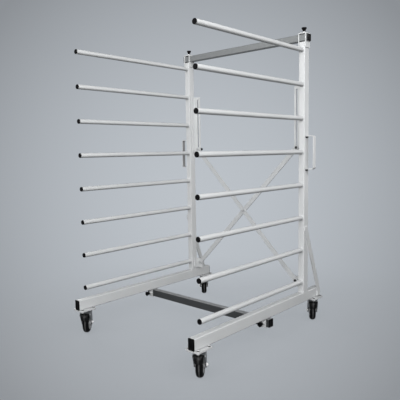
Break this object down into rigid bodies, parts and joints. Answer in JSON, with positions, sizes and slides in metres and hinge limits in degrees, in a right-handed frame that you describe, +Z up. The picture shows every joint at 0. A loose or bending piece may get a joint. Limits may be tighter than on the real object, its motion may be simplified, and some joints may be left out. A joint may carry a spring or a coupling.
{
  "type": "drying rack trolley",
  "caption": "Free-standing trolley with two tube side frames on casters, forward arms for drying panels, crossbars with clamp knobs and crossed braces that fold it narrow.",
  "frame": {"origin": "on the floor, under the middle of the outline", "axes": "+Z up, the arms point to -Y, +X is the right-hand side frame seen from the arms' tips"},
  "size_m": [1.0916, 1.2262, 1.8196],
  "materials": {
    "paint": "light grey powder coat",
    "top_crossbar": "galvanised",
    "bottom_crossbar": "dark satin",
    "plugs": "matte black",
    "knobs": "matte black",
    "pedals": "matte black",
    "wheels": "black tyre on a grey hub",
    "zinc": "bright zinc plate",
    "fasteners": "bright zinc plate"
  },
  "bodies": {
    "left_frame": {"left_base_beam": "paint", "left_post": "paint", "left_stay": "paint", "left_end_plugs": "plugs", "left_head_bracket": "paint", "left_handle": "paint", "left_guide_rail": "paint", "left_pivot_bracket": "paint", "left_bar_strap": "paint", "left_caster_plates": "zinc", "left_arm_1": "paint", "left_arm_2": "paint", "left_arm_3": "paint", "left_arm_4": "paint", "left_arm_5": "paint", "left_arm_6": "paint", "left_arm_7": "paint", "left_arm_8": "paint", "top_crossbar": "top_crossbar", "bottom_crossbar": "bottom_crossbar", "crossbar_plugs": "plugs"},
    "rear_brace": {"rear_brace": "paint", "rear_brace_pins": "fasteners"},
    "front_brace": {"front_brace": "paint", "front_brace_pins": "fasteners"},
    "right_frame": {"right_base_beam": "paint", "right_post": "paint", "right_stay": "paint", "right_end_plugs": "plugs", "right_head_bracket": "paint", "right_handle": "paint", "right_guide_rail": "paint", "right_pivot_bracket": "paint", "right_bar_strap": "paint", "right_caster_plates": "zinc", "right_arm_1": "paint", "right_arm_2": "paint", "right_arm_3": "paint", "right_arm_4": "paint", "right_arm_5": "paint", "right_arm_6": "paint", "right_arm_7": "paint", "right_arm_8": "paint"},
    "left_top_knob": {"left_top_knob": "knobs"},
    "right_top_knob": {"right_top_knob": "knobs"},
    "left_base_knob": {"left_base_knob": "knobs"},
    "right_base_knob": {"right_base_knob": "knobs"},
    "front_right_caster": {"front_right_fork": "zinc"},
    "front_right_wheel": {"front_right_wheel": "wheels"},
    "front_right_brake_pedal": {"front_right_brake_pedal": "pedals"},
    "front_left_caster": {"front_left_fork": "zinc"},
    "front_left_wheel": {"front_left_wheel": "wheels"},
    "front_left_brake_pedal": {"front_left_brake_pedal": "pedals"},
    "rear_right_caster": {"rear_right_fork": "zinc"},
    "rear_right_wheel": {"rear_right_wheel": "wheels"},
    "rear_right_brake_pedal": {"rear_right_brake_pedal": "pedals"},
    "rear_left_caster": {"rear_left_fork": "zinc"},
    "rear_left_wheel": {"rear_left_wheel": "wheels"},
    "rear_left_brake_pedal": {"rear_left_brake_pedal": "pedals"}
  },
  "joints": [
    {"name": "scissor_fold", "type": "hinge", "parent": "left_frame", "child": "rear_brace", "pos_m": [-0.41, 0.42125, 0.28], "axis": [0, -1, 0], "range_deg": [0, 30]},
    {"name": "brace_crossing", "type": "hinge", "parent": "rear_brace", "child": "front_brace", "pos_m": [0, 0.42125, 0.69749], "axis": [0, -1, 0], "range_deg": [-60, 0]},
    {"name": "right_frame_travel", "type": "hinge", "parent": "front_brace", "child": "right_frame", "pos_m": [0.41, 0.42125, 0.28], "axis": [0, -1, 0], "range_deg": [0, 30]},
    {"name": "left_top_knob_turn", "type": "hinge", "parent": "left_frame", "child": "left_top_knob", "pos_m": [-0.47, 0.407, 1.7943], "axis": [0, 0, 1], "range_deg": [0, 360]},
    {"name": "left_base_knob_turn", "type": "hinge", "parent": "left_frame", "child": "left_base_knob", "pos_m": [-0.47, -0.0325, 0.137], "axis": [0, -1, 0], "range_deg": [0, 360]},
    {"name": "right_top_knob_turn", "type": "hinge", "parent": "right_frame", "child": "right_top_knob", "pos_m": [0.47, 0.407, 1.7943], "axis": [0, 0, 1], "range_deg": [0, 360]},
    {"name": "right_base_knob_turn", "type": "hinge", "parent": "right_frame", "child": "right_base_knob", "pos_m": [0.47, -0.0325, 0.137], "axis": [0, -1, 0], "range_deg": [0, 360]},
    {"name": "front_right_swivel", "type": "hinge", "parent": "right_frame", "child": "front_right_caster", "pos_m": [0.47, -0.553, 0.158], "axis": [0, 0, 1], "continuous": true},
    {"name": "front_right_roll", "type": "hinge", "parent": "front_right_caster", "child": "front_right_wheel", "pos_m": [0.4492, -0.52362, 0.0625], "axis": [-0.8161, -0.5779, 0], "continuous": true},
    {"name": "front_right_brake", "type": "hinge", "parent": "front_right_caster", "child": "front_right_brake_pedal", "pos_m": [0.47982, -0.56687, 0.1272], "axis": [0.8161, 0.5779, 0], "range_deg": [0, 23]},
    {"name": "front_left_swivel", "type": "hinge", "parent": "left_frame", "child": "front_left_caster", "pos_m": [-0.47, -0.553, 0.158], "axis": [0, 0, 1], "continuous": true},
    {"name": "front_left_roll", "type": "hinge", "parent": "front_left_caster", "child": "front_left_wheel", "pos_m": [-0.49437, -0.5265, 0.0625], "axis": [-0.7361, -0.6769, 0], "continuous": true},
    {"name": "front_left_brake", "type": "hinge", "parent": "front_left_caster", "child": "front_left_brake_pedal", "pos_m": [-0.45849, -0.56551, 0.1272], "axis": [0.7361, 0.6769, 0], "range_deg": [0, 23]},
    {"name": "rear_right_swivel", "type": "hinge", "parent": "right_frame", "child": "rear_right_caster", "pos_m": [0.47, 0.53, 0.158], "axis": [0, 0, 1], "continuous": true},
    {"name": "rear_right_roll", "type": "hinge", "parent": "rear_right_caster", "child": "rear_right_wheel", "pos_m": [0.44961, 0.55967, 0.0625], "axis": [-0.8241, -0.5664, 0], "continuous": true},
    {"name": "rear_right_brake", "type": "hinge", "parent": "rear_right_caster", "child": "rear_right_brake_pedal", "pos_m": [0.47963, 0.51599, 0.1272], "axis": [0.8241, 0.5664, 0], "range_deg": [0, 23]},
    {"name": "rear_left_swivel", "type": "hinge", "parent": "left_frame", "child": "rear_left_caster", "pos_m": [-0.47, 0.53, 0.158], "axis": [0, 0, 1], "continuous": true},
    {"name": "rear_left_roll", "type": "hinge", "parent": "rear_left_caster", "child": "rear_left_wheel", "pos_m": [-0.49478, 0.55611, 0.0625], "axis": [-0.7254, -0.6884, 0], "continuous": true},
    {"name": "rear_left_brake", "type": "hinge", "parent": "rear_left_caster", "child": "rear_left_brake_pedal", "pos_m": [-0.4583, 0.51767, 0.1272], "axis": [0.7254, 0.6884, 0], "range_deg": [0, 23]}
  ],
  "couplings": [
    {"joint": "brace_crossing", "follows": "scissor_fold", "ratio": -2},
    {"joint": "right_frame_travel", "follows": "scissor_fold", "ratio": 1}
  ]
}
